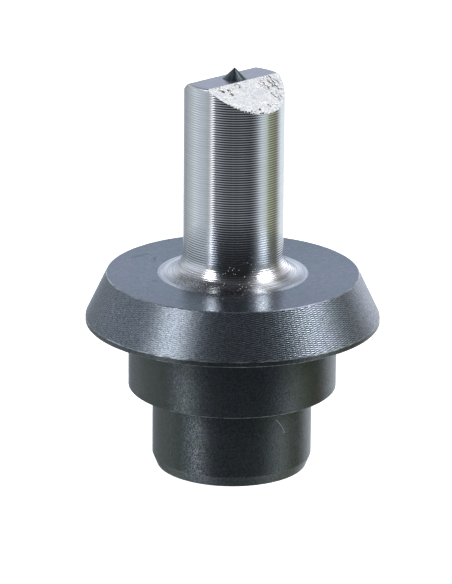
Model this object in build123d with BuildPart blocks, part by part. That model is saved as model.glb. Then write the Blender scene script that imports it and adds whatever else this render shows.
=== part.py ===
from build123d import *
from math import cos, radians, sin, tan
import os

# A round punch for a hole-punching press, turned from one bar of tool steel, in millimetres.
# Z is the punch's axis: the back face lies at Z = 0 and the working end points up.
# The ridge of the working end runs along X.

# Working end
shank_diameter = 13.5
shank_length = 27.0
ridge_width = 3.95
ridge_offset = 0.3
slope_angle = 33.8
root_fillet_radius = 3.1

# Centre point on the ridge
point_diameter = 3.1
point_included_angle = 90.0
point_tip_radius = 0.08
point_flare_radius = 0.3

# Conical clamping collar
collar_diameter = 39.8
collar_height = 6.7
collar_land_height = 0.75
collar_flank_angle = 25.45

# Stepped back end
register_diameter = 28.2
register_length = 9.2
spigot_diameter = 21.65
spigot_length = 11.1
spigot_chamfer_length = 1.5
spigot_chamfer_depth = 0.6

# Small break on the sharp turned edges
edge_break = 0.1

# Heights above the back face
register_bottom = spigot_length
collar_underside = register_bottom + register_length
collar_land_top = collar_underside + collar_land_height
collar_face = collar_underside + collar_height
ridge_top = collar_face + shank_length

# Radii
shank_radius = shank_diameter / 2
collar_radius = collar_diameter / 2
collar_face_radius = collar_radius - (collar_height - collar_land_height) * tan(radians(collar_flank_angle))
register_radius = register_diameter / 2
spigot_radius = spigot_diameter / 2

# The point's cone, tip ball and flare, as radii and heights above the ridge
half_angle = radians(point_included_angle / 2)
point_radius = point_diameter / 2
sharp_height = point_radius / tan(half_angle)
tip_centre = sharp_height - point_tip_radius / sin(half_angle)
tip_tangent_radius = point_tip_radius * cos(half_angle)
tip_tangent_height = tip_centre + point_tip_radius * sin(half_angle)
flare_tangent = point_flare_radius * tan((radians(90) - half_angle) / 2)
flare_top_radius = point_radius - flare_tangent * sin(half_angle)
flare_top_height = flare_tangent * cos(half_angle)
flare_foot_radius = point_radius + flare_tangent
point_root_depth = point_radius

with BuildPart() as punch:
    # The whole body is one turned profile
    with BuildSketch(Plane.XZ) as body_profile:
        with BuildLine():
            Polyline(
                (0, 0),
                (spigot_radius - spigot_chamfer_depth, 0),
                (spigot_radius, spigot_chamfer_length),
                (spigot_radius, register_bottom),
                (register_radius, register_bottom),
                (register_radius, collar_underside),
                (collar_radius, collar_underside),
                (collar_radius, collar_land_top),
                (collar_face_radius, collar_face),
                (shank_radius, collar_face),
                (shank_radius, ridge_top),
                (0, ridge_top),
                close=True,
            )
        make_face()
    revolve(axis=Axis.Z)

    # The shank flows into the collar's face
    turned_edges = punch.edges().filter_by(GeomType.CIRCLE)
    face_circles = turned_edges.filter_by_position(Axis.Z, collar_face - edge_break, collar_face + edge_break)
    fillet(face_circles.sort_by(SortBy.RADIUS)[0], root_fillet_radius)

    # The collar's three edges and the register's lower edge are lightly broken
    turned_edges = punch.edges().filter_by(GeomType.CIRCLE)
    collar_edges = turned_edges.filter_by(lambda edge: edge.radius > register_radius + edge_break)
    register_edges = turned_edges.filter_by_position(
        Axis.Z, register_bottom - edge_break, register_bottom + edge_break
    )
    chamfer(collar_edges + register_edges.sort_by(SortBy.RADIUS)[-1:], edge_break)

    # Two slopes ground on the end leave a flat ridge between them, a little off the axis
    with BuildSketch(Plane.YZ) as slopes:
        for side in (-1, 1):
            ridge_edge = ridge_offset + side * ridge_width / 2
            slope_drop = (shank_radius - side * ridge_edge) * tan(radians(slope_angle))
            with BuildLine():
                Polyline(
                    (ridge_edge, ridge_top),
                    (side * shank_radius, ridge_top - slope_drop),
                    (side * shank_radius, ridge_top),
                    close=True,
                )
            make_face()
    extrude(amount=shank_radius, both=True, mode=Mode.SUBTRACT)

    # The centre point stands on the ridge and is rooted in the shank
    with BuildSketch(Plane.XZ) as point_profile:
        with BuildLine():
            Line((0, ridge_top - point_root_depth), (flare_foot_radius, ridge_top - point_root_depth))
            Line((flare_foot_radius, ridge_top - point_root_depth), (flare_foot_radius, ridge_top))
            TangentArc(
                (flare_foot_radius, ridge_top),
                (flare_top_radius, ridge_top + flare_top_height),
                tangent=(-1, 0),
            )
            Line(
                (flare_top_radius, ridge_top + flare_top_height),
                (tip_tangent_radius, ridge_top + tip_tangent_height),
            )
            TangentArc(
                (tip_tangent_radius, ridge_top + tip_tangent_height),
                (0, ridge_top + tip_centre + point_tip_radius),
                tangent=(-sin(half_angle), cos(half_angle)),
            )
            Line((0, ridge_top + tip_centre + point_tip_radius), (0, ridge_top - point_root_depth))
        make_face()
    revolve(axis=Axis.Z)

punch.part.label = "punch"

os.makedirs("parts", exist_ok=True)
export_step(punch.part, "parts/punch.step")
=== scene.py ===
import random
from math import ceil, cos, hypot, pi, radians, sin, sqrt, tan, tau

import bmesh
import bpy
from mathutils import Matrix, Vector, noise


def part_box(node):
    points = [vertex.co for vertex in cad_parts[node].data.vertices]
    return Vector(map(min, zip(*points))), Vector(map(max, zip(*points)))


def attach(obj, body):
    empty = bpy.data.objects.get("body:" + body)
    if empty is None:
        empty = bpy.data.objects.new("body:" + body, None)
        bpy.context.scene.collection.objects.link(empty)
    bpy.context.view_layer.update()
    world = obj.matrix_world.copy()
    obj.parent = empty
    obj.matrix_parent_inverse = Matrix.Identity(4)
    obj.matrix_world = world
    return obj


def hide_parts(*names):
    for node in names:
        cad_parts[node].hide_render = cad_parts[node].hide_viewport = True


# A round punch standing on its back end: one turned and ground piece of tool steel.
# Sizes are in millimetres, and MM turns them into the scene's metres.

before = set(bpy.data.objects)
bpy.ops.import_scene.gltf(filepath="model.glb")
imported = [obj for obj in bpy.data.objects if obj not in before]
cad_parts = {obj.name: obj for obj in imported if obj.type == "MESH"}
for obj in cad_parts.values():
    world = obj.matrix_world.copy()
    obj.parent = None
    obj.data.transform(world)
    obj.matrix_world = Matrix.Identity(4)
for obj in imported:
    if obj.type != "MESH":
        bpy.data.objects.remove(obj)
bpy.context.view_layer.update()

MM = 0.001
BODY = "root"
NODE = "punch"

# Sizes of the punch. The collar's diameter and the overall height come from the frame.
lowest, highest = (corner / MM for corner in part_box(NODE))
COLLAR_RADIUS = (highest.x - lowest.x) / 2
POINT_TOP = highest.z
SHANK_RADIUS = 6.75
ROOT_FILLET = 3.1
BRIGHT_RADIUS = 10.15
RIDGE_WIDTH = 3.95
RIDGE_OFFSET = 0.3
RIDGE_TOP = 54.0
END_ROUNDING = 0.35
SLOPE_ANGLE = radians(33.8)
COLLAR_FACE = 27.0
COLLAR_LAND_TOP = 21.05
COLLAR_UNDERSIDE = 20.3
FLANK_ANGLE = radians(25.45)
REGISTER_RADIUS = 14.1
REGISTER_BOTTOM = 11.1
SPIGOT_RADIUS = 10.825
SPIGOT_CHAMFER_LENGTH = 1.5
SPIGOT_CHAMFER_DEPTH = 0.6
POINT_RADIUS = 1.55
POINT_FLARE = 0.3
POINT_TIP_RADIUS = 0.08
EDGE_BREAK = 0.1
CONE_UNEVENNESS = 0.012

# Turning marks: the tool's advance in one turn, and how deep it scallops the surface
SHANK_FEED = 0.325
SHANK_MARK_DEPTH = 0.025
FLANK_FEED = 0.1425
FLANK_MARK_DEPTH = 0.004
SEGMENTS = 144
ROWS_PER_TURN = 4
# The marks grow fainter into the fillet: within this share of its radius, with this much of it
# done where the fillet starts, and by this share in the end
FADE_LENGTH = 0.5
FADE_LEAD = 0.6
FADED_SHARE = 0.25
# The tool's chatter on the flank: its waves in one turn, and the place along X where it is strongest
CHATTER_WAVES = 90.5
CHATTER_PEAK = -2.0
# Points nearer to each other than this are welded, in metres
WELD_GAP = 1e-6

COLLAR_FACE_RADIUS = COLLAR_RADIUS - (COLLAR_FACE - COLLAR_LAND_TOP) * tan(FLANK_ANGLE)
FILLET_RADIUS = SHANK_RADIUS + ROOT_FILLET
FLANK_START_RADIUS = COLLAR_FACE_RADIUS + EDGE_BREAK * sin(FLANK_ANGLE)
FLANK_START = COLLAR_FACE - EDGE_BREAK * cos(FLANK_ANGLE)
FLANK_LENGTH = (COLLAR_FACE - COLLAR_LAND_TOP) / cos(FLANK_ANGLE) - 2 * EDGE_BREAK
RIDGE_NEAR = RIDGE_OFFSET - RIDGE_WIDTH / 2
RIDGE_FAR = RIDGE_OFFSET + RIDGE_WIDTH / 2

# The camera stands to the front left of the ridge and looks slightly down
CAMERA_AZIMUTH = radians(-43.71)
CAMERA_DISTANCE = 525.63
CAMERA_HEIGHT = 198.69
CAMERA_PITCH = radians(18.37)
CAMERA_YAW = radians(0.10)
CAMERA_ROLL = radians(0.45)
CAMERA_LENS = 253.06
SENSOR = 36.0


def make_camera():
    """A long lens, turned and tipped as in the photo."""
    data = bpy.data.cameras.new("camera")
    data.lens = CAMERA_LENS
    data.sensor_width = SENSOR
    data.clip_end = 20.0
    camera = bpy.data.objects.new("camera", data)
    bpy.context.scene.collection.objects.link(camera)
    stand = Matrix.Translation((0, -CAMERA_DISTANCE * MM, CAMERA_HEIGHT * MM))
    aim = Matrix.Rotation(CAMERA_YAW, 4, "Z") @ Matrix.Rotation(pi / 2 - CAMERA_PITCH, 4, "X")
    camera.matrix_world = (
        Matrix.Rotation(CAMERA_AZIMUTH, 4, "Z") @ stand @ aim @ Matrix.Rotation(CAMERA_ROLL, 4, "Z")
    )
    bpy.context.scene.camera = camera


make_camera()


# Node trees are written as formulas on fields
class Field:
    """A node's output that adds Math nodes to its own tree when it is used in a formula."""

    def __init__(self, graph, socket):
        self.graph = graph
        self.socket = socket

    def __add__(self, other):
        return self.graph.math("ADD", self, other)

    def __sub__(self, other):
        return self.graph.math("SUBTRACT", self, other)

    def __rsub__(self, other):
        return self.graph.math("SUBTRACT", other, self)

    def __mul__(self, other):
        return self.graph.math("MULTIPLY", self, other)

    def __truediv__(self, other):
        return self.graph.math("DIVIDE", self, other)

    __radd__ = __add__
    __rmul__ = __mul__


class Graph:
    """One node tree, with short calls that add nodes to it."""

    def __init__(self, tree):
        self.tree = tree
        tree.nodes.clear()

    def feed(self, socket, value):
        if isinstance(value, Field):
            self.tree.links.new(value.socket, socket)
        else:
            socket.default_value = value

    def add(self, kind, inputs=None, **settings):
        node = self.tree.nodes.new(kind)
        for name, value in settings.items():
            setattr(node, name, value)
        for name, value in (inputs or {}).items():
            self.feed(node.inputs[name], value)
        return node

    def field(self, node, output=0):
        return Field(self, node.outputs[output])

    def math(self, operation, *values):
        inputs = dict(enumerate(values))
        return self.field(self.add("ShaderNodeMath", inputs, operation=operation))

    def vector_math(self, operation, *vectors, output="Vector"):
        inputs = dict(enumerate(vectors))
        return self.field(self.add("ShaderNodeVectorMath", inputs, operation=operation), output)

    def scaled(self, vector, factor):
        inputs = {0: vector, "Scale": factor}
        return self.field(self.add("ShaderNodeVectorMath", inputs, operation="SCALE"))

    def held(self, value, low, high):
        """The value, held between low and high."""
        return self.math("MINIMUM", self.math("MAXIMUM", value, low), high)

    def vector(self, x, y, z):
        return self.field(self.add("ShaderNodeCombineXYZ", {0: x, 1: y, 2: z}))

    def parts(self, vector):
        node = self.add("ShaderNodeSeparateXYZ", {0: vector})
        return [self.field(node, axis) for axis in range(3)]

    def smooth(self, value, low, high):
        """Rises smoothly from 0 at low to 1 at high, or falls where low is the larger."""
        if low > high:
            return 1 - self.smooth(value, high, low)
        inputs = {"Value": value, "From Min": low, "From Max": high}
        return self.field(self.add("ShaderNodeMapRange", inputs, interpolation_type="SMOOTHSTEP"))

    def noise(self, vector, scale, detail=2.0, roughness=0.5):
        inputs = {"Vector": vector, "Scale": scale, "Detail": detail, "Roughness": roughness}
        return self.field(self.add("ShaderNodeTexNoise", inputs, noise_dimensions="3D"))

    def blend(self, share, first, second):
        """first where share is 0 and second where it is 1, for colours."""
        node = self.add("ShaderNodeMix", data_type="RGBA")
        self.feed(node.inputs[0], share)
        for socket, colour in ((node.inputs[6], first), (node.inputs[7], second)):
            self.feed(socket, colour if isinstance(colour, Field) else (*colour, 1.0))
        return self.field(node, 2)


# Meshes
def turning_marks_tree():
    """Geometry Nodes: a turned strip, straight and then filleted, with the helical marks of the tool.

    The strip is a sheared grid whose rows follow the marks, so its seam closes one turn further on.
    """
    tree = bpy.data.node_groups.new("turning_marks", "GeometryNodeTree")
    measures = (
        "Start Radius", "Start Height", "Tilt", "Straight Length", "Fillet Radius", "Fillet Sweep",
        "Feed", "Mark Depth", "Unevenness", "Seed",
    )
    kinds = {name: "NodeSocketFloat" for name in measures}
    kinds.update({name: "NodeSocketInt" for name in ("Rows", "Rows Per Turn", "Segments")})
    kinds["Material"] = "NodeSocketMaterial"
    for name, kind in kinds.items():
        tree.interface.new_socket(name=name, in_out="INPUT", socket_type=kind)
    tree.interface.new_socket(name="Geometry", in_out="OUTPUT", socket_type="NodeSocketGeometry")
    graph = Graph(tree)
    given = graph.add("NodeGroupInput")
    size = {name: graph.field(given, name) for name in kinds}

    columns = size["Segments"] + 1
    index = graph.field(graph.add("GeometryNodeInputIndex"))
    row = graph.math("FLOOR", index / columns)
    turn = (index - row * columns) / size["Segments"]
    turns_made = row / size["Rows Per Turn"]

    # How far along the profile each point lies, held between the strip's two ends. The fillet's
    # radius is kept above zero, for a strip without a fillet.
    fillet = graph.math("MAXIMUM", size["Fillet Radius"], 1e-6)
    whole = size["Straight Length"] + fillet * size["Fillet Sweep"]
    wanted = (turns_made - 1 + turn) * size["Feed"]
    along = graph.held(wanted, 0, whole)
    straight = graph.math("MINIMUM", along, size["Straight Length"])
    lean = size["Tilt"] + (along - straight) / fillet

    cos_tilt = graph.math("COSINE", size["Tilt"])
    sin_tilt = graph.math("SINE", size["Tilt"])
    cos_lean = graph.math("COSINE", lean)
    sin_lean = graph.math("SINE", lean)
    radius = size["Start Radius"] + straight * sin_tilt + fillet * (cos_tilt - cos_lean)
    height = size["Start Height"] - straight * cos_tilt - fillet * (sin_lean - sin_tilt)

    # Each pass of the tool leaves a shallow scallop, uneven from turn to turn and along its way
    phase = graph.math("FRACT", turns_made)
    scallop = 4 * phase * (1 - phase)
    path = graph.vector(turns_made + turn, size["Seed"], 0)
    chatter = graph.noise(path, 1.7, detail=4.0) - 0.5
    tolerance = 1e-7
    inside = graph.math("COMPARE", wanted, along, tolerance)
    nearing = (along - size["Straight Length"]) / fillet / FADE_LENGTH + FADE_LEAD
    fading = 1 - FADED_SHARE * graph.held(nearing, 0, 1)
    cut = size["Mark Depth"] * scallop * (1 + size["Unevenness"] * chatter) * fading * inside

    angle = turn * tau
    cut_radius = radius - cut * cos_lean
    place = graph.vector(
        cut_radius * graph.math("COSINE", angle),
        cut_radius * graph.math("SINE", angle),
        height - cut * sin_lean,
    )
    last = graph.add("GeometryNodeMeshGrid", {"Vertices X": size["Rows"], "Vertices Y": columns})
    steps = {
        "GeometryNodeSetPosition": {"Position": place},
        "GeometryNodeMergeByDistance": {"Distance": WELD_GAP},
        "GeometryNodeRealizeInstances": {},
        "GeometryNodeSetMaterial": {"Material": size["Material"]},
        "NodeGroupOutput": {},
    }
    for kind, inputs in steps.items():
        last = graph.add(kind, {"Geometry": graph.field(last), **inputs})
    return tree


def turned_strip(name, tree, material, start, tilt, straight, fillet, feed, depth, unevenness, seed):
    """The mesh of one strip of turning marks. Lengths are in millimetres."""
    host = bpy.data.objects.new(name, bpy.data.meshes.new(name))
    bpy.context.scene.collection.objects.link(host)
    modifier = host.modifiers.new(name, "NODES")
    modifier.node_group = tree
    length = straight + fillet * pi / 2
    values = {
        "Start Radius": start[0] * MM,
        "Start Height": start[1] * MM,
        "Tilt": tilt,
        "Straight Length": straight * MM,
        "Fillet Radius": fillet * MM,
        "Fillet Sweep": pi / 2 if fillet else 0.0,
        "Feed": feed * MM,
        "Mark Depth": depth * MM,
        "Unevenness": unevenness,
        "Seed": seed,
        "Rows": (ceil(length / feed) + 1) * ROWS_PER_TURN + 1,
        "Rows Per Turn": ROWS_PER_TURN,
        "Segments": SEGMENTS,
        "Material": material,
    }
    for item in tree.interface.items_tree:
        if item.in_out == "INPUT":
            modifier[item.identifier] = values[item.name]
    depsgraph = bpy.context.evaluated_depsgraph_get()
    mesh = bpy.data.meshes.new_from_object(host.evaluated_get(depsgraph))
    bpy.data.objects.remove(host)
    return mesh


def object_from(shape, name):
    """An object in the scene from a shape that is done."""
    mesh = bpy.data.meshes.new(name)
    shape.to_mesh(mesh)
    shape.free()
    made = bpy.data.objects.new(name, mesh)
    bpy.context.scene.collection.objects.link(made)
    return made


def ring_at(shape, radius, height, segments, unevenness=0.0):
    """A ring of points about the axis, on a slightly uneven circle. Without a radius it is one point."""
    if radius == 0:
        return [shape.verts.new((0, 0, height * MM))] * segments
    ring = []
    for step in range(segments):
        angle = tau * step / segments
        wave = noise.noise(Vector((cos(angle) * 2, sin(angle) * 2, height * 1.5)))
        reach = radius * (1 + unevenness * wave)
        ring.append(shape.verts.new((reach * cos(angle) * MM, reach * sin(angle) * MM, height * MM)))
    return ring


def join_rings(shape, rings):
    """Faces from each ring to the next. A ring that is one point makes a fan."""
    for ring, next_ring in zip(rings, rings[1:]):
        for step in range(len(ring)):
            following = (step + 1) % len(ring)
            corners = (ring[step], ring[following], next_ring[following], next_ring[step])
            shape.faces.new(dict.fromkeys(corners))


def add_turned_surface(shape, profile):
    """Revolves a line of (radius, height) points."""
    join_rings(shape, [ring_at(shape, radius, height, SEGMENTS) for radius, height in profile])


def between(start, end, steps):
    """Points from start to end, both included."""
    spans = [step / steps for step in range(steps + 1)]
    return [tuple(a + (b - a) * span for a, b in zip(start, end)) for span in spans]


def wall(radius, top, bottom):
    """Points down a cylinder."""
    return between((radius, top), (radius, bottom), 3)


def ledge(height, outer, inner):
    """Points across a level face."""
    return between((outer, height), (inner, height), 2)


def arc(middle, size, first, last, steps):
    """Points on a round of a profile, between two angles that are counted from upright."""
    turns = [first + (last - first) * step / steps for step in range(steps + 1)]
    return [(middle[0] + size * sin(turn), middle[1] + size * cos(turn)) for turn in turns]


def end_profile():
    """The flat end of the shank with its rounded outer edge, before the slopes are ground."""
    middle = (SHANK_RADIUS - END_ROUNDING, RIDGE_TOP - END_ROUNDING)
    return [(0, RIDGE_TOP)] + arc(middle, END_ROUNDING, 0, pi / 2, 8)


def collar_face_profile():
    """The collar's face: the shank's turning runs out on it in a fine step."""
    step_depth = 0.02
    step_run = 0.05
    profile = [(FILLET_RADIUS, COLLAR_FACE), (BRIGHT_RADIUS, COLLAR_FACE - step_depth)]
    face_rim = (COLLAR_FACE_RADIUS - EDGE_BREAK, COLLAR_FACE)
    profile += between((BRIGHT_RADIUS + step_run, COLLAR_FACE), face_rim, 5)
    return profile + [(FLANK_START_RADIUS, FLANK_START)]


def back_end_profile():
    """The profile below the flank: land, underside, register, spigot, chamfer and back face.

    Narrow bands beside the sharp corners keep their shading crisp.
    """
    edge = EDGE_BREAK
    wall_band = 0.3
    underside_band = 1.0
    step_band = 0.5
    chamfer_foot = SPIGOT_RADIUS - SPIGOT_CHAMFER_DEPTH
    return [
        (COLLAR_RADIUS, COLLAR_LAND_TOP - edge),
        (COLLAR_RADIUS, COLLAR_UNDERSIDE + edge),
        (COLLAR_RADIUS - edge, COLLAR_UNDERSIDE),
        *ledge(COLLAR_UNDERSIDE, COLLAR_RADIUS - underside_band, REGISTER_RADIUS),
        *wall(REGISTER_RADIUS, COLLAR_UNDERSIDE - wall_band, REGISTER_BOTTOM + edge),
        (REGISTER_RADIUS - edge, REGISTER_BOTTOM),
        *ledge(REGISTER_BOTTOM, REGISTER_RADIUS - step_band, SPIGOT_RADIUS),
        *wall(SPIGOT_RADIUS, REGISTER_BOTTOM - wall_band, SPIGOT_CHAMFER_LENGTH),
        *between((SPIGOT_RADIUS, SPIGOT_CHAMFER_LENGTH), (chamfer_foot, 0), 2)[1:],
        *ledge(0, chamfer_foot - step_band, 0),
    ]


# Pits of the visible slope: place along the ridge, distance down the slope, size and depth
PITS = (
    (-4.92, 0.44, 0.17, 0.05), (-4.39, 0.08, 0.15, 0.06), (-4.49, 0.74, 0.20, 0.13),
    (-4.30, 0.92, 0.17, 0.12), (-4.34, 1.09, 0.12, 0.05), (-3.86, 1.09, 0.13, 0.06),
    (-3.40, 0.89, 0.17, 0.12), (-3.43, 1.25, 0.10, 0.06), (-3.33, 1.66, 0.21, 0.14),
    (-3.66, 1.52, 0.12, 0.07), (-2.54, 0.80, 0.09, 0.05), (-1.93, 0.33, 0.12, 0.06),
    (-1.60, 0.23, 0.12, 0.06), (-1.28, 0.12, 0.13, 0.06), (-1.09, 0.42, 0.12, 0.08),
    (-1.31, 0.86, 0.15, 0.10), (-0.45, 1.08, 0.10, 0.06), (1.19, 1.56, 0.11, 0.06),
    (-0.56, 2.69, 0.10, 0.06), (-0.57, 2.93, 0.10, 0.06), (-3.81, 2.35, 0.09, 0.05),
    (-4.88, 2.05, 0.12, 0.05), (-4.78, 2.38, 0.11, 0.05), (0.60, 4.23, 0.12, 0.05),
    (1.84, 4.05, 0.11, 0.05), (0.90, 4.63, 0.12, 0.07), (1.05, 4.98, 0.13, 0.07),
    (1.55, 4.73, 0.11, 0.06), (2.17, 4.95, 0.12, 0.07), (-0.98, 5.07, 0.16, 0.10),
    (-0.94, 5.71, 0.17, 0.10), (-1.32, 5.73, 0.15, 0.09), (-2.49, 5.06, 0.14, 0.07),
    (-1.94, 5.14, 0.13, 0.07), (-4.25, 3.60, 0.13, 0.07), (-4.50, 3.95, 0.15, 0.09),
    (-4.05, 4.30, 0.14, 0.08), (-3.30, 4.90, 0.16, 0.10), (-2.95, 5.10, 0.14, 0.09),
    (-5.04, 0.02, 0.16, 0.06), (-4.64, 0.08, 0.12, 0.05),
)
# Tears: from one (place, distance down) to another, then the half width and the depth
TEARS = (
    ((2.89, 0.42), (2.91, 0.93), 0.09, 0.06), ((2.91, 0.93), (2.69, 1.76), 0.10, 0.07),
    ((4.10, 0.29), (3.88, 0.80), 0.10, 0.07), ((3.88, 0.80), (4.03, 1.47), 0.12, 0.10),
    ((4.03, 1.47), (3.81, 2.05), 0.11, 0.09), ((4.56, 0.02), (4.47, 1.84), 0.08, 0.06),
    ((4.47, 1.84), (4.49, 2.59), 0.12, 0.10), ((2.76, 2.91), (2.91, 3.64), 0.11, 0.10),
    ((1.94, 0.69), (2.36, 1.17), 0.08, 0.04), ((2.36, 1.17), (2.40, 1.81), 0.08, 0.05),
    ((3.10, 3.60), (3.36, 4.32), 0.07, 0.04),
)
PIT_SPREAD = 1.32
HIDDEN_PITS = 34
HIDDEN_TEARS = 8
EDGE_NICKS = 26
# The depth of the slopes' broad waves and fine grain, and how ragged the outlines of the pits are
WAVE_DEPTH = 0.008
GRAIN_DEPTH = 0.005
RAGGEDNESS = 0.22
# Where a slope is torn: it starts this far along X, grows within a run and ends short of the rim
TORN_FROM = 1.8
TORN_RUN = 1.2
TORN_RIM = 0.6
TORN_DEPTH = 0.14
TORN_ABOVE = 0.14
# The spacing of the points on the near slope and on the far slope
NEAR_SPACING = 0.09
FAR_SPACING = 0.13
rng = random.Random(7)


def lower_edge_nicks():
    """Small pits strung along the lower edge of the visible slope."""
    nicks = []
    for count in range(EDGE_NICKS):
        x = rng.uniform(-5.3, 1.6)
        edge = (sqrt(SHANK_RADIUS**2 - x**2) + RIDGE_NEAR) / cos(SLOPE_ANGLE)
        size = rng.uniform(0.07, 0.13)
        nicks.append((x, edge - rng.uniform(0.0, 0.3), size, size * rng.uniform(0.5, 0.8)))
    return tuple(nicks)


def hidden_slope_marks():
    """Pits and tears of the far slope: of the same kind, in other places."""
    pits = []
    while len(pits) < HIDDEN_PITS:
        x = rng.uniform(-6.3, 6.3)
        down = abs(rng.gauss(0, 2.6))
        if hypot(x, RIDGE_FAR + down * cos(SLOPE_ANGLE)) < SHANK_RADIUS - 0.1:
            size = rng.uniform(0.09, 0.2)
            pits.append((x, down, size, size * rng.uniform(0.4, 0.7)))
    tears = []
    for count in range(HIDDEN_TEARS):
        x = rng.uniform(-4.8, -2.0)
        down = rng.uniform(0.2, 2.2)
        end = (x + rng.gauss(0, 0.15), down + rng.uniform(0.5, 1.2))
        tears.append(((x, down), end, rng.uniform(0.08, 0.12), rng.uniform(0.05, 0.1)))
    return pits, tears


def held(value):
    """The value, held between 0 and 1."""
    return min(max(value, 0), 1)


def distance_to_line(point, start, end):
    """How far a point of a slope is from a short straight line on it."""
    ahead = (end[0] - start[0], end[1] - start[1])
    away = (point[0] - start[0], point[1] - start[1])
    reach = held((away[0] * ahead[0] + away[1] * ahead[1]) / hypot(*ahead) ** 2)
    return hypot(away[0] - ahead[0] * reach, away[1] - ahead[1] * reach)


def grinding_depth(x, down, side, pits, tears):
    """How far below its plane a ground slope lies, in millimetres."""
    seed = 40.0 * (side + 1)
    place = Vector((x, down, seed))
    depth = WAVE_DEPTH * (1 + noise.noise(place * 1.6)) + GRAIN_DEPTH * (1 + noise.noise(place * 6.0))
    outward = hypot(x, abs(RIDGE_NEAR if side < 0 else RIDGE_FAR) + down * cos(SLOPE_ANGLE))
    torn = held((-side * x - TORN_FROM) / TORN_RUN) * held((SHANK_RADIUS - outward) / TORN_RIM)
    grain = noise.noise(Vector((x * 4.5, down * 1.3, seed + 3)))
    depth += torn * TORN_DEPTH * max(0.0, grain - TORN_ABOVE)
    other_place = place * 8.0 + Vector((0, 0, 7))
    ragged = Vector((noise.noise(place * 8.0), noise.noise(other_place))) * RAGGEDNESS
    spot = (x + ragged[0], down + ragged[1])
    for pit_x, pit_down, size, deep in pits:
        away = hypot(spot[0] - pit_x, spot[1] - pit_down) / (size * PIT_SPREAD)
        if away < 1:
            depth += deep * PIT_SPREAD * (1 - away**2) ** 2
    for start, end, half_width, deep in tears:
        away = distance_to_line(spot, start, end) / half_width
        if away < 1:
            depth += deep * (1 - away**2)
    return depth


def slope_cutter(side, edge, spacing, marks):
    """A block above one ground slope, whose lower face is the slope's rough surface."""
    overcut = 0.5
    reach = SHANK_RADIUS + overcut
    # The first row lies beyond the ridge's edge, the last one beyond the shank
    first = -0.9
    last = (SHANK_RADIUS - abs(edge)) / cos(SLOPE_ANGLE) + overcut
    columns = ceil(2 * reach / spacing)
    rows = ceil((last - first) / spacing)
    block = 6.0
    outward = Vector((0, side * cos(SLOPE_ANGLE), -sin(SLOPE_ANGLE)))
    normal = Vector((0, side * sin(SLOPE_ANGLE), cos(SLOPE_ANGLE)))
    start = Vector((0, edge, RIDGE_TOP))
    shape = bmesh.new()
    lower, upper = [], []
    for row in range(rows + 1):
        down = first + (last - first) * row / rows
        lower.append([])
        upper.append([])
        for column in range(columns + 1):
            x = -reach + 2 * reach * column / columns
            point = start + outward * down + Vector((x, 0, 0))
            depth = grinding_depth(x, down, side, *marks)
            lower[-1].append(shape.verts.new((point - normal * depth) * MM))
            if row in (0, rows) or column in (0, columns):
                upper[-1].append(shape.verts.new((point + normal * block) * MM))
            else:
                upper[-1].append(None)
    for row in range(rows):
        for column in range(columns):
            shape.faces.new((
                lower[row][column], lower[row][column + 1],
                lower[row + 1][column + 1], lower[row + 1][column],
            ))
    rim = [(0, column) for column in range(columns)]
    rim += [(row, columns) for row in range(rows)]
    rim += [(rows, column) for column in range(columns, 0, -1)]
    rim += [(row, 0) for row in range(rows, 0, -1)]
    for (row, column), (next_row, next_column) in zip(rim, rim[1:] + rim[:1]):
        shape.faces.new((
            lower[row][column], lower[next_row][next_column],
            upper[next_row][next_column], upper[row][column],
        ))
    shape.faces.new([upper[row][column] for row, column in rim])
    bmesh.ops.recalc_face_normals(shape, faces=shape.faces)
    return object_from(shape, "slope_cutter")


def centre_point():
    """The small cone on the ridge, with its flare and a stem that reaches into the shank."""
    foot = POINT_RADIUS + POINT_FLARE * tan(pi / 8)
    # The flare's rim lies just below the ridge, so that the two surfaces cross
    sunk = RIDGE_TOP - 0.004
    stem = 1.0
    profile = [(foot, RIDGE_TOP - stem)] + arc((foot, sunk + POINT_FLARE), -POINT_FLARE, 0, pi / 4, 5)
    tip = arc((0, POINT_TOP - POINT_TIP_RADIUS), POINT_TIP_RADIUS, pi / 4, 0, 2)
    profile += between(profile[-1], tip[0], 8)[1:-1] + tip
    shape = bmesh.new()
    segments = 64
    rings = []
    for radius, height in profile:
        unevenness = CONE_UNEVENNESS if height > RIDGE_TOP + 0.2 else 0.0
        rings.append(ring_at(shape, radius, height, segments, unevenness))
    join_rings(shape, rings)
    shape.faces.new(rings[0][::-1])
    bmesh.ops.recalc_face_normals(shape, faces=shape.faces)
    return object_from(shape, "centre_point")


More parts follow.
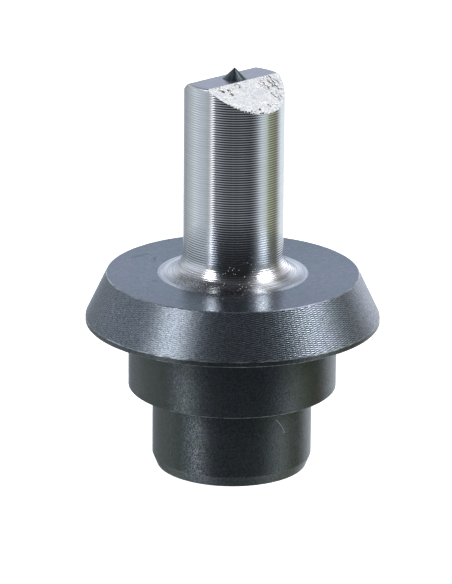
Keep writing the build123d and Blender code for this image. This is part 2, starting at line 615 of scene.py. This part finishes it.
def punch_blank(materials):
    """The turned blank: two strips of turning marks and the plain turned surfaces, welded."""
    tree = turning_marks_tree()
    shank_top = RIDGE_TOP - END_ROUNDING
    shank_length = shank_top - COLLAR_FACE - ROOT_FILLET
    strips = [
        turned_strip(
            "shank_marks", tree, materials["shank"], start=(SHANK_RADIUS, shank_top), tilt=0.0,
            straight=shank_length, fillet=ROOT_FILLET, feed=SHANK_FEED, depth=SHANK_MARK_DEPTH,
            unevenness=0.5, seed=3.0,
        ),
        turned_strip(
            "flank_marks", tree, materials["flank"], start=(FLANK_START_RADIUS, FLANK_START),
            tilt=FLANK_ANGLE, straight=FLANK_LENGTH, fillet=0.0, feed=FLANK_FEED,
            depth=FLANK_MARK_DEPTH, unevenness=0.6, seed=11.0,
        ),
    ]
    shape = bmesh.new()
    for strip in strips:
        shape.from_mesh(strip)
        bpy.data.meshes.remove(strip)
    add_turned_surface(shape, end_profile())
    add_turned_surface(shape, collar_face_profile())
    flank_end = (
        FLANK_START_RADIUS + FLANK_LENGTH * sin(FLANK_ANGLE),
        FLANK_START - FLANK_LENGTH * cos(FLANK_ANGLE),
    )
    add_turned_surface(shape, [flank_end] + back_end_profile())
    bmesh.ops.remove_doubles(shape, verts=shape.verts, dist=WELD_GAP)
    bmesh.ops.recalc_face_normals(shape, faces=shape.faces)
    return object_from(shape, "punch_body")


def cut_or_join(target, other, operation):
    """Cuts the other object out of the target or joins it on, and removes it."""
    modifier = target.modifiers.new(operation.lower(), "BOOLEAN")
    modifier.object = other
    modifier.operation = operation
    modifier.solver = "EXACT"
    depsgraph = bpy.context.evaluated_depsgraph_get()
    result = bpy.data.meshes.new_from_object(target.evaluated_get(depsgraph))
    target.modifiers.clear()
    old = target.data
    target.data = result
    bpy.data.meshes.remove(old)
    bpy.data.objects.remove(other)


# The parts of the surface that have a material of their own
ZONES = ("shank", "flank", "collar_face", "back_end", "slopes", "ridge", "point")
SHARP_ANGLE = radians(17)


def zone_of(place, normal):
    """The zone of a face, from its middle in millimetres and its normal."""
    radius = hypot(place.x, place.y)
    edge = RIDGE_NEAR if place.y < RIDGE_OFFSET else RIDGE_FAR
    above = abs(place.y - edge) * sin(SLOPE_ANGLE) + (place.z - RIDGE_TOP) * cos(SLOPE_ANGLE)
    close = 0.001
    level = 0.999
    steepest = 0.25
    deepest_pit = 0.4
    lowest_slope = RIDGE_TOP - 4
    step_bottom = COLLAR_FACE - 0.06
    face_rim = COLLAR_FACE - 0.09
    if radius < POINT_RADIUS + 0.1 and place.z > RIDGE_TOP + close and normal.z < level:
        return "point"
    if place.z > RIDGE_TOP - close:
        return "ridge"
    beyond_edge = place.y < RIDGE_NEAR or place.y > RIDGE_FAR
    if place.z > lowest_slope and beyond_edge and above > -deepest_pit and normal.z > steepest:
        return "slopes"
    if place.z > step_bottom and radius < BRIGHT_RADIUS + 0.01:
        return "shank"
    if place.z > face_rim:
        return "collar_face"
    if place.z > COLLAR_LAND_TOP - close:
        return "flank"
    return "back_end"


def make_punch(materials):
    """The blank with both slopes ground and the centre point on, and a material on each zone."""
    punch = punch_blank(materials)
    slopes = (
        (-1, RIDGE_NEAR, NEAR_SPACING, (PITS + lower_edge_nicks(), TEARS)),
        (1, RIDGE_FAR, FAR_SPACING, hidden_slope_marks()),
    )
    for slope in slopes:
        cut_or_join(punch, slope_cutter(*slope), "DIFFERENCE")
    cut_or_join(punch, centre_point(), "UNION")
    mesh = punch.data
    mesh.name = "punch_body"
    mesh.materials.clear()
    for zone in ZONES:
        mesh.materials.append(materials[zone])
    for face in mesh.polygons:
        face.material_index = ZONES.index(zone_of(face.center / MM, face.normal))
        face.use_smooth = True
    mesh.set_sharp_from_angle(angle=SHARP_ANGLE)
    # The ridge is shaded flat right up to its rounded ends
    ridge = ZONES.index("ridge")
    neighbours = {}
    for face in mesh.polygons:
        for key in face.edge_keys:
            neighbours.setdefault(key, set()).add(face.material_index)
    for edge in mesh.edges:
        if ridge in neighbours[edge.key] and len(neighbours[edge.key]) > 1:
            edge.use_edge_sharp = True
    return punch


# Materials
OXIDE_INDEX = 2.0
OIL_INDEX = 1.8
OIL_ROUGHNESS = 0.17
QUARTER_TURN = 0.25


class Surface:
    """A metal's material with the punch's own coordinates in millimetres."""

    def __init__(self, name):
        self.material = bpy.data.materials.new(name)
        self.material.use_nodes = True
        self.graph = Graph(self.material.node_tree)
        graph = self.graph
        coordinates = graph.field(graph.add("ShaderNodeTexCoord"), "Object")
        self.place = graph.scaled(coordinates, 1 / MM)
        self.x, self.y, self.z = graph.parts(self.place)
        self.radius = graph.math("SQRT", self.x * self.x + self.y * self.y)

    def streaks(self, turns, rise, detail=3.0, roughness=0.5):
        """Noise that is drawn out round the axis: low numbers give long streaks."""
        graph = self.graph
        reach = graph.math("MAXIMUM", self.radius, 0.01)
        place = graph.vector(
            self.x / reach * turns, self.y / reach * turns, (self.radius - self.z) * rise
        )
        return graph.noise(place, 1.0, detail, roughness)

    def down_to(self, start, full):
        """Rises to 1 from one height above the collar's face down to another."""
        return self.graph.smooth(self.z, COLLAR_FACE + start, COLLAR_FACE + full)

    def facing(self, side, low, high):
        """Rises to 1 on the side of the punch that faces (x, y)."""
        return self.graph.smooth((self.x * side[0] + self.y * side[1]) / self.radius, low, high)

    def near_edge(self, radius, height, width):
        """1 within width of a turned edge, with a ragged outline."""
        graph = self.graph
        away_out = self.radius - radius
        away_up = self.z - height
        away = graph.math("SQRT", away_out * away_out + away_up * away_up)
        ragged = self.streaks(32.0, 5.0)
        raggedness = 0.22
        softness = 0.03
        return graph.smooth(away + (ragged - 0.5) * raggedness, width + softness, width - softness)

    def near_line(self, points, width):
        """1 on a line through the points, given as (radius, angle in degrees, height)."""
        graph = self.graph
        ends = [
            Vector((radius * cos(radians(angle)), radius * sin(radians(angle)), height))
            for radius, angle, height in points
        ]
        far_away = 100.0
        nearest = far_away
        for start, end in zip(ends, ends[1:]):
            ahead = end - start
            from_start = graph.vector_math("SUBTRACT", self.place, start)
            reach = graph.vector_math("DOT_PRODUCT", from_start, ahead, output="Value")
            foot = graph.scaled(ahead, graph.held(reach / ahead.length_squared, 0.0, 1.0))
            gap = graph.vector_math("DISTANCE", from_start, foot, output="Value")
            nearest = graph.math("MINIMUM", nearest, gap)
        core = 0.35
        return graph.smooth(nearest, width, width * core)

    def specks(self, per_mm, share, size):
        """Small scattered spots: 1 in their middle. size is a share of the spacing."""
        graph = self.graph
        cells = graph.add("ShaderNodeTexVoronoi", {"Vector": self.place, "Scale": per_mm})
        pick = graph.parts(graph.field(cells, "Color"))[0]
        chosen = graph.math("LESS_THAN", pick, share)
        return graph.smooth(graph.field(cells, "Distance"), size, 0.0) * chosen

    def shaded(self, colour, factor):
        """The colour, brighter or darker by a factor that never falls to black."""
        darkest = 0.3
        return self.graph.scaled(colour, self.graph.math("MAXIMUM", factor, darkest))

    def finish(self, colour, metallic, roughness, height, drawn=0.0, index=1.5, film=0.0):
        """Wires the shader. height is in millimetres.

        drawn stretches the shine across the turning marks, index sets the shine of the oxide, and
        film is how much oil lies on it.
        """
        graph = self.graph
        bump = graph.add("ShaderNodeBump", {"Height": height, "Distance": MM})
        inputs = {"Base Color": colour, "Metallic": metallic, "Roughness": roughness, "IOR": index}
        inputs["Normal"] = graph.field(bump)
        if drawn:
            tangent = graph.vector(0 - self.y, self.x, 0.0)
            inputs.update({"Anisotropic": drawn, "Anisotropic Rotation": QUARTER_TURN, "Tangent": tangent})
        if film:
            inputs.update({"Coat Weight": film, "Coat Roughness": OIL_ROUGHNESS, "Coat IOR": OIL_INDEX})
        shader = graph.add("ShaderNodeBsdfPrincipled", inputs)
        graph.add("ShaderNodeOutputMaterial", {"Surface": graph.field(shader)})
        return self.material


# Colours of the metal, of its blackening, of what has marked it or lies on it, and of painted shade
BRIGHT_STEEL = (0.60, 0.625, 0.655)
BLACK_OXIDE = (0.106, 0.127, 0.150)
BLUISH = (1.04, 0.98, 1.05)
LILAC = (1.18, 1.0, 1.09)
LILAC_SHEEN = (1.04, 0.99, 0.98)
GREENISH = (0.90, 1.06, 0.86)
WORN_EDGE = (0.58, 0.62, 0.66)
BARE_SCRATCH = (0.70, 0.73, 0.76)
DIRT = (0.05, 0.045, 0.035)
STAIN = (0.22, 0.23, 0.27)
RUST = (0.16, 0.10, 0.05)
DUST = (0.80, 0.80, 0.80)
DARK_STIPPLE = (0.10, 0.11, 0.12)
# Dark green blots: partly stains, partly painted shade with a painted green reflection
GREEN_BLOT_AND_SHADE = (0.016, 0.025, 0.013)
GROUND_CLOUD = (0.70, 0.71, 0.76)
# Painted shade on the walls and at the bottoms of the slopes' pits and tears
PIT_WALL_SHADE = (0.40, 0.39, 0.38)
# The same, where they run from one colour to another
GROUND = ((0.67, 0.67, 0.68), (0.98, 0.97, 0.965))
PIT_BOTTOM_SHADE = ((0.10, 0.075, 0.05), (0.20, 0.215, 0.205))
RIDGE = ((0.36, 0.35, 0.39), (0.52, 0.51, 0.55))
POINT = ((0.06, 0.075, 0.09), (0.16, 0.19, 0.215))
# Sides of the fillet that differ, as (x, y) from the axis
# The side whose foot gets painted shade
SHADED_FRONT = (-0.69, -0.72)
WORN_SIDE = (0.0, -1.0)
# The two sides where bands of painted shade lie above the fillet's bright spots
SHADED_BAND_RIGHT = (-0.10, -0.995)
SHADED_BAND_LEFT = (-0.945, -0.327)
STIPPLED_SIDE = (-0.99, -0.15)


def tinted(colour, factor, cast=(1.0, 1.0, 1.0)):
    """The colour, brighter or darker by a factor and with a cast."""
    return [channel * factor * share for channel, share in zip(colour, cast)]


def turned_steel():
    """Bright turned steel of the shank and the root fillet."""
    surface = Surface("bright_turned_steel")
    graph = surface.graph
    streaks = surface.streaks(1.2, 10.0, roughness=0.6)
    grain = graph.noise(surface.place, 5.0, detail=3.0, roughness=0.6)
    tone = graph.smooth(streaks, 0.3, 0.7)
    colour = graph.blend(tone, tinted(BRIGHT_STEEL, 0.93), tinted(BRIGHT_STEEL, 1.06))
    spots = surface.specks(1.1, 0.10, 0.10)
    colour = graph.blend(spots * 1.5, colour, RUST)

    # The fillet: a lilac sheen with arcs drawn round it, a little darker towards its outer rim, and
    # painted shade at its foot on the side towards the front
    low = surface.down_to(2.6, 1.2)
    foot = surface.down_to(1.1, 0.2)
    outer = graph.smooth(surface.radius, BRIGHT_RADIUS - 1.0, BRIGHT_RADIUS - 0.2)
    arcs = surface.streaks(1.5, 2.2, roughness=0.6)
    colour = graph.blend(low * 0.8, colour, tinted(BRIGHT_STEEL, 1.02, LILAC_SHEEN))
    shade = outer * 0.1 + foot * surface.facing(SHADED_FRONT, 0.70, 0.98) * 0.42
    colour = surface.shaded(colour, 1 + (arcs - 0.5) * low * 1.5 - shade)

    # Painted shade in bands above its two bright spots, and a softer shine on the worn side and at the
    # foot
    shaded_band_sides = surface.facing(SHADED_BAND_RIGHT, 0.977, 0.997) + surface.facing(SHADED_BAND_LEFT, 0.99, 0.999)
    shaded_bands = surface.down_to(5.2, 3.6) * (1 - low) * shaded_band_sides
    colour = surface.shaded(colour, 1 - shaded_bands * 0.22)
    calm = surface.down_to(2.0, 0.8)
    worn = surface.down_to(5.5, 3.5)
    softened = worn * (0.02 + surface.facing(WORN_SIDE, 0.75, 0.97) * 0.03) + calm * 0.06

    # Stains at the rim of the bright turning, and dark stipple on one side
    stains = surface.specks(2.6, 0.15, 0.3) * outer
    colour = graph.blend(stains * 0.75, colour, STAIN)
    stipple = graph.smooth(graph.noise(surface.place, 6.0, detail=1.0), 0.55, 0.62)
    stipple = stipple * graph.smooth(surface.radius, SHANK_RADIUS + 0.5, SHANK_RADIUS + 1.2)
    stippled_side = surface.facing(STIPPLED_SIDE, 0.85, 0.97)
    colour = graph.blend(stipple * (0.08 + 0.85 * stippled_side), colour, DARK_STIPPLE)

    # The fine relief, and white dust in the fillet
    sparkle = surface.specks(3.3, 0.22, 0.2) * low * (1 - calm)
    grainy = 0.0010 + low * 0.0035 - calm * 0.0043
    height = streaks * 0.0010 + grain * grainy + sparkle * 0.04 + arcs * low * (1 - calm) * 0.005
    flecks = graph.math("MINIMUM", surface.specks(2.1, 0.8, 0.17) * 2.5, 1.0)
    flecks = flecks * surface.down_to(5.5, 3.0)
    colour = graph.blend(flecks, colour, DUST)
    rim = graph.smooth(surface.z, RIDGE_TOP - 1.3 * END_ROUNDING, RIDGE_TOP - 0.8 * END_ROUNDING)
    return surface.finish(colour, 1 - flecks, 0.115 + rim * 0.25 + softened, height)


def oxide(
    name, colour, cast, body, roughness, drawn, relief, contrast, edges, painted_highlights=(), marks=(), film=0.0
):
    """Blackened steel with a faint change of tone, worn bright edges, painted highlights and marks.

    cast tints its cloudy patches, and body is the share of it that isn't metallic. relief is a
    function of the surface that gives its height in millimetres and how far it is worn bright,
    about 0. contrast is how much that wear shows. painted_highlights are lines along which a
    highlight is painted into the tone, and marks are pairs of a colour and its lines.
    """
    surface = Surface(name)
    graph = surface.graph
    cloud = graph.noise(surface.place, 0.35, detail=3.0)
    mottle = graph.noise(surface.place, 2.2, detail=4.0, roughness=0.6)
    tone = graph.blend(graph.smooth(cloud, 0.35, 0.65), colour, tinted(colour, 1.0, cast))
    tone = graph.blend(graph.smooth(mottle, 0.35, 0.7), tone, tinted(colour, 0.80))
    tone = graph.blend(surface.specks(1.8, 0.16, 0.14), tone, DIRT)
    height, wear = relief(surface)
    tone = surface.shaded(tone, 1 + wear * contrast)
    patchy = graph.smooth(surface.streaks(13.0, 0.6), 0.38, 0.62) * 0.7 + 0.3
    for radius, edge_height, width, strength in edges:
        worn = surface.near_edge(radius, edge_height, width) * patchy * strength
        tone = graph.blend(worn, tone, WORN_EDGE)
    beads = graph.noise(surface.place, 5.6, detail=2.0, roughness=0.6)
    highlight_grain = graph.smooth(beads, 0.40, 0.66)
    # Painted highlights: the tone is brightened, in a grain, along the given lines
    for points, width, strength in painted_highlights:
        highlight = surface.near_line(points, width) * strength
        tone = surface.shaded(tone, 1 + highlight * (highlight_grain - 0.15))
    for shade, lines in marks:
        for points, width, strength in lines:
            tone = graph.blend(surface.near_line(points, width) * strength, tone, shade)
    uneven = roughness + (mottle - 0.5) * 0.08
    if film:
        film = graph.smooth(beads, 0.44, 0.64) * film
    return surface.finish(tone, 1 - body, uneven, height, drawn, OXIDE_INDEX, film)


def plain_grain(size, depth):
    """A relief of plain grain with faint streaks round the punch."""
    def relief(surface):
        coarse = surface.graph.noise(surface.place, 1 / size, detail=3.0, roughness=0.6)
        streaks = surface.streaks(3.0, 5.0)
        wear = (coarse - 0.5) * 3.5 + (streaks - 0.5) * 0.6
        return coarse * depth + streaks * (depth * 0.2), wear
    return relief


def flank_relief(surface):
    """The weave of a chattering tool: its dashes shift by half their spacing at each turn."""
    graph = surface.graph
    angle = graph.math("ARCTAN2", surface.y, surface.x)
    along = (FLANK_START - surface.z) / cos(FLANK_ANGLE)
    phase = along / FLANK_FEED - angle / tau
    turn = graph.math("FLOOR", phase)
    within = graph.math("FRACT", phase)
    wave = graph.math("COSINE", (angle + turn * tau) * CHATTER_WAVES)
    across = 4 * within * (1 - within)
    grain = graph.noise(surface.place, 6.8, detail=2.0, roughness=0.65)
    dashes = surface.streaks(40.0, 7.0, detail=2.0)
    aside = graph.math("ABSOLUTE", surface.x - CHATTER_PEAK)
    fading = 0.25 + 0.75 * graph.smooth(surface.x, 5.5, 1.0)
    weave = wave * across * fading * (0.4 + 1.2 * graph.smooth(aside, 12, 3))
    wear = weave + (grain - 0.5) * 3.4 + (dashes - 0.5) * 1.5
    return weave * 0.008 + grain * 0.018 + dashes * 0.006, wear


def ground_steel():
    """The two ground slopes: pale and fine-grained, with painted shade down in the pits and tears."""
    surface = Surface("ground_steel")
    graph = surface.graph
    near = graph.math("MINIMUM", surface.y - RIDGE_NEAR, 0)
    far = graph.math("MAXIMUM", surface.y - RIDGE_FAR, 0)
    above = (far - near) * sin(SLOPE_ANGLE) + (surface.z - RIDGE_TOP) * cos(SLOPE_ANGLE)
    grain = graph.noise(surface.place, 4.0, detail=4.0, roughness=0.65)
    cloud = graph.noise(surface.place, 0.9, detail=3.0)
    pale = graph.blend(graph.smooth(grain, 0.35, 0.65), *GROUND)
    pale = graph.blend(graph.smooth(cloud, 0.45, 0.7) * 0.5, pale, GROUND_CLOUD)
    # Painted shade in the pits and tears, by depth: grey on their walls, darkest at their bottoms
    shaded = graph.blend(graph.smooth(above, -0.034, -0.062), pale, PIT_WALL_SHADE)
    bottom = graph.blend(graph.smooth(surface.x, 0.0, 2.0), *PIT_BOTTOM_SHADE)
    colour = graph.blend(graph.smooth(above, -0.068, -0.10), shaded, bottom)
    return surface.finish(colour, 1.0, 0.5, grain * 0.02)


def ridge_steel():
    """The flat ridge: half-bright, with streaks along it."""
    surface = Surface("ridge_steel")
    graph = surface.graph
    drawn_out = graph.vector(surface.x * 0.5, surface.y * 9.0, 0.0)
    lines = graph.noise(drawn_out, 1.0, detail=4.0, roughness=0.6)
    colour = graph.blend(graph.smooth(lines, 0.3, 0.7), *RIDGE)
    return surface.finish(colour, 1.0, 0.3, lines * 0.006)


def point_steel():
    """The centre point: blackened, with faint streaks down the cone."""
    surface = Surface("point_steel")
    graph = surface.graph
    streaks = surface.streaks(5.0, 0.4)
    colour = graph.blend(graph.smooth(streaks, 0.35, 0.65), *POINT)
    return surface.finish(colour, 1.0, 0.33, streaks * 0.03)


def on_face(*spots):
    """Points on the collar's face, from their radius and their angle in degrees."""
    return [(radius, angle, COLLAR_FACE) for radius, angle in spots]


def on_wall(radius, *spots):
    """Points on a cylinder, from their angle in degrees and their height."""
    return [(radius, angle, height) for angle, height in spots]


# Marks along lines: the line's points as (radius, angle, height), its width and its strength
FACE_MARKS = (
    (on_face((14.98, 112.8), (14.47, 108.4), (13.99, 103.4)), 0.40, 0.45),
    (on_face((12.25, 106.2), (11.75, 111.5)), 0.28, 0.6),
    (on_face((11.40, 156.5), (11.10, 159.0)), 0.30, 0.5),
    (on_face((13.63, -146.3), (13.63, -145.8)), 0.22, 1.0),
    (on_face((13.05, -118.3), (12.93, -117.1), (12.8, -116.6)), 0.13, 1.0),
)
FLANK_SCRATCHES = (
    (((17.22, -146.86, 26.66), (17.43, -147.57, 26.23), (17.67, -148.55, 25.72)), 0.06, 0.4),
    (((17.80, -149.2, 25.4), (17.92, -149.75, 25.21), (18.09, -150.80, 24.85)), 0.055, 0.28),
)
SPIGOT_PATH = ((-100.3, 9.14), (-97.7, 8.61), (-95.4, 8.02), (-93.7, 7.45), (-92.5, 6.97))
SPIGOT_SCRATCH = ((on_wall(SPIGOT_RADIUS, *SPIGOT_PATH), 0.05, 0.4),)
# Dark green blots on the register and the spigot: partly stains, partly painted shade with a painted green
# reflection
BACK_END_BLOTS_AND_SHADE = (
    (on_wall(REGISTER_RADIUS, (177.0, 19.0), (179.0, 12.0)), 4.6, 0.75),
    (on_wall(REGISTER_RADIUS, (-97.0, 18.5), (-86.0, 13.0)), 4.4, 0.5),
    (on_wall(SPIGOT_RADIUS, (174.0, 10.0), (175.0, 2.5)), 4.6, 0.75),
    (on_wall(SPIGOT_RADIUS, (-103.0, 9.5), (-105.0, 3.0)), 2.4, 0.3),
)
# Painted highlights, given in the same way: one down the flank, and streaks down the register and the
# spigot
FLANK_PAINTED_HIGHLIGHT = ((((17.1, -52.0, 26.9), (19.85, -52.0, 21.2)), 4.5, 1.0),)
BACK_END_PAINTED_HIGHLIGHTS = (
    (on_wall(REGISTER_RADIUS, (-161.5, 20.0), (-161.5, 11.2)), 3.2, 1.0),
    (on_wall(SPIGOT_RADIUS, (-162.5, 11.0), (-162.5, 1.5)), 3.0, 1.6),
)


def make_materials():
    """The material of each zone."""
    # Each edge is given by its radius, its height, the width of its bright line and how bright it is
    face_edge = (COLLAR_FACE_RADIUS, COLLAR_FACE, 0.11, 0.8)
    land_edge = (COLLAR_RADIUS, COLLAR_LAND_TOP, 0.09, 0.7)
    under_edge = (COLLAR_RADIUS, COLLAR_UNDERSIDE, 0.09, 0.5)
    register_edge = (REGISTER_RADIUS, REGISTER_BOTTOM, 0.09, 0.45)
    # One black oxide in three tones: partly a difference of finish, partly painted light on the face and
    # painted shade on the back end
    pale = tinted(BLACK_OXIDE, 1.84)
    middle = tinted(BLACK_OXIDE, 1.2)
    dark = tinted(BLACK_OXIDE, 0.53)
    return {
        "shank": turned_steel(),
        "flank": oxide(
            "blackened_flank", middle, cast=BLUISH, body=0.25, roughness=0.33, drawn=0.3,
            relief=flank_relief, contrast=1.1, edges=(face_edge, land_edge), painted_highlights=FLANK_PAINTED_HIGHLIGHT,
            marks=((BARE_SCRATCH, FLANK_SCRATCHES),),
        ),
        "collar_face": oxide(
            "blackened_face", pale, cast=LILAC, body=0.05, roughness=0.28, drawn=0.4,
            relief=plain_grain(0.3, 0.0004), contrast=0.08, edges=(face_edge,),
            marks=((DIRT, FACE_MARKS),),
        ),
        "back_end": oxide(
            "blackened_back_end", dark, cast=GREENISH, body=0.22, roughness=0.37, drawn=0.9,
            relief=plain_grain(0.2, 0.03), contrast=0.9, edges=(land_edge, under_edge, register_edge),
            painted_highlights=BACK_END_PAINTED_HIGHLIGHTS, marks=((GREEN_BLOT_AND_SHADE, BACK_END_BLOTS_AND_SHADE), (BARE_SCRATCH, SPIGOT_SCRATCH)),
            film=0.4,
        ),
        "slopes": ground_steel(),
        "ridge": ridge_steel(),
        "point": point_steel(),
    }


# Studio
# The casts of its light
PLAIN = (1.0, 1.0, 1.0)
COOL = (0.94, 1.0, 1.08)
HAZE = (0.94, 1.0, 1.03)
SKY = (0.88, 1.0, 1.18)
MOSS = (0.94, 1.0, 0.97)
GARDEN = (0.91, 1.0, 0.69)
BARK = (1.02, 1.0, 0.70)
EARTH = (1.14, 1.0, 0.78)
# The surroundings near the horizon, by azimuth from the camera's side (positive to its right, in
# degrees): the tint, then the brightness below the horizon and at the horizon
LOW_SURROUNDINGS = (
    (-180, SKY, 0.80, 0.80), (-170, SKY, 0.40, 0.80), (-150, COOL, 0.15, 0.43),
    (-128, HAZE, 0.78, 0.60), (-107, HAZE, 1.38, 0.64), (-88, COOL, 0.90, 0.66),
    (-70, COOL, 0.54, 0.66), (-61, HAZE, 0.55, 0.64), (-57, PLAIN, 0.90, 0.66),
    (-52, PLAIN, 2.90, 1.60), (-48, PLAIN, 0.57, 0.25), (-43, COOL, 0.63, 0.10),
    (-36, COOL, 0.60, 0.05), (-30, COOL, 0.48, 0.04), (-22, COOL, 0.39, 0.04),
    (-5, COOL, 0.32, 0.035), (-2, MOSS, 0.38, 0.06), (1, COOL, 0.32, 0.035),
    (20, COOL, 0.37, 0.035), (40, COOL, 0.31, 0.02), (49, COOL, 0.41, 0.06),
    (58, COOL, 0.62, 0.30), (67, HAZE, 1.14, 0.69), (80, HAZE, 1.10, 0.69),
    (86, GARDEN, 0.94, 0.24), (112, BARK, 0.60, 0.16), (122, PLAIN, 0.50, 0.70),
    (132, HAZE, 0.36, 1.20), (147, HAZE, 0.95, 1.01), (165, COOL, 0.82, 1.10),
    (180, SKY, 0.80, 0.80),
)
# The same just above the horizon and well above it
HIGH_SURROUNDINGS = (
    (-180, SKY, 0.86, 0.44), (-150, COOL, 0.84, 0.38), (-107, COOL, 0.92, 0.38),
    (-85, COOL, 0.92, 0.40), (-70, COOL, 0.80, 0.48), (-56, COOL, 0.50, 0.30),
    (-45, COOL, 0.30, 0.15), (-32, COOL, 0.04, 0.03), (-20, COOL, 0.02, 0.02),
    (38, COOL, 0.02, 0.02), (50, COOL, 0.20, 0.18), (68, COOL, 0.50, 0.40),
    (86, COOL, 0.55, 0.45), (100, COOL, 0.50, 0.52), (115, EARTH, 0.26, 0.28),
    (125, PLAIN, 0.84, 0.22), (138, COOL, 0.80, 0.20), (154, COOL, 0.95, 0.45),
    (180, SKY, 0.86, 0.44),
)
BRIGHTNESS_COLUMNS = (2, 3)
# The elevations over which each of these four rings of light turns into the next, and the last
# one into the dark overhead
RING_BLENDS = ((-34, -13), (0, 9), (14, 36), (44, 72))
OVERHEAD = (0.07, 0.075, 0.08)
# Windows and weaker patches: middle and half width in azimuth, middle and half height in
# elevation, softness and colour
WINDOWS = (
    (-38, 7, 33, 9, 6, (0.08, 0.15, 0.27)),
    (-56.5, 12, 35, 10, 8, (2.5, 2.52, 2.55)),
    (-54.5, 6.5, 34, 8, 6, (20.4, 20.6, 20.4)),
    (82, 15, 36, 12, 8, (2.25, 2.27, 2.3)),
    (81, 10, 36.5, 10, 8, (15.0, 15.1, 14.9)),
    (121, 33, 58, 10, 6, (1.75, 1.82, 1.91)),
    (149, 18, 1, 7, 5, (1.65, 1.67, 1.83)),
)


def ring_of_light(graph, azimuth, surroundings, column):
    """The surroundings' colour all round, from one column of their brightness."""
    share = (azimuth + pi) / tau
    ramp = graph.add("ShaderNodeValToRGB", {0: share})
    stops = ramp.color_ramp.elements
    while len(stops) < len(surroundings):
        stops.new(1.0)
    for stop, row in zip(stops, surroundings):
        stop.position = (row[0] + 180) / 360
        stop.color = (*tinted(row[1], row[column]), 1.0)
    return graph.field(ramp)


def make_world():
    """Soft studio light, as the metal mirrors it: a dim front, pale sides, windows and patches."""
    world = bpy.data.worlds.new("studio")
    world.use_nodes = True
    bpy.context.scene.world = world
    graph = Graph(world.node_tree)
    direction = graph.field(graph.add("ShaderNodeTexCoord"), "Generated")
    x, y, z = graph.parts(direction)
    rightward = x * cos(CAMERA_AZIMUTH) + y * sin(CAMERA_AZIMUTH)
    toward = x * sin(CAMERA_AZIMUTH) - y * cos(CAMERA_AZIMUTH)
    azimuth = graph.math("ARCTAN2", rightward, toward)
    elevation = graph.math("ARCSINE", z)
    rings = [
        ring_of_light(graph, azimuth, surroundings, column)
        for surroundings in (LOW_SURROUNDINGS, HIGH_SURROUNDINGS)
        for column in BRIGHTNESS_COLUMNS
    ]
    light = rings[0]
    for (low, high), upper in zip(RING_BLENDS, rings[1:] + [OVERHEAD]):
        light = graph.blend(graph.smooth(elevation, radians(low), radians(high)), light, upper)
    for middle, half_width, height, half_height, soft, colour in WINDOWS:
        aside = graph.math("ABSOLUTE", graph.math("WRAP", azimuth - radians(middle), pi, -pi))
        above = graph.math("ABSOLUTE", elevation - radians(height))
        across = graph.smooth(aside, radians(half_width + soft), radians(half_width - soft))
        upward = graph.smooth(above, radians(half_height + soft), radians(half_height - soft))
        light = graph.blend(across * upward, light, colour)
    seen = graph.field(graph.add("ShaderNodeLightPath"), "Is Camera Ray")
    light = graph.blend(seen, light, (1.0, 1.0, 1.0))
    background = graph.add("ShaderNodeBackground", {"Color": light})
    graph.add("ShaderNodeOutputWorld", {"Surface": graph.field(background)})


def make_floor():
    """A pale floor that shows only to the camera, so the metal mirrors the studio and not the floor."""
    half = 3.0
    shape = bmesh.new()
    corners = ((-half, -half), (half, -half), (half, half), (-half, half))
    shape.faces.new([shape.verts.new((x, y, 0)) for x, y in corners])
    floor = object_from(shape, "floor")
    material = bpy.data.materials.new("pale_floor")
    material.use_nodes = True
    graph = Graph(material.node_tree)
    glow = graph.add("ShaderNodeEmission", {"Color": (1, 1, 1, 1), "Strength": 0.93})
    paper = graph.add("ShaderNodeBsdfDiffuse", {"Color": (0.8, 0.8, 0.8, 1)})
    both = graph.add("ShaderNodeAddShader", {0: graph.field(glow), 1: graph.field(paper)})
    graph.add("ShaderNodeOutputMaterial", {"Surface": graph.field(both)})
    floor.data.materials.append(material)
    floor.visible_glossy = False
    floor.visible_diffuse = False
    floor.visible_shadow = False


bpy.context.scene.view_settings.view_transform = "Standard"
make_world()
make_floor()
punch = make_punch(make_materials())
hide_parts(NODE)
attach(punch, BODY)
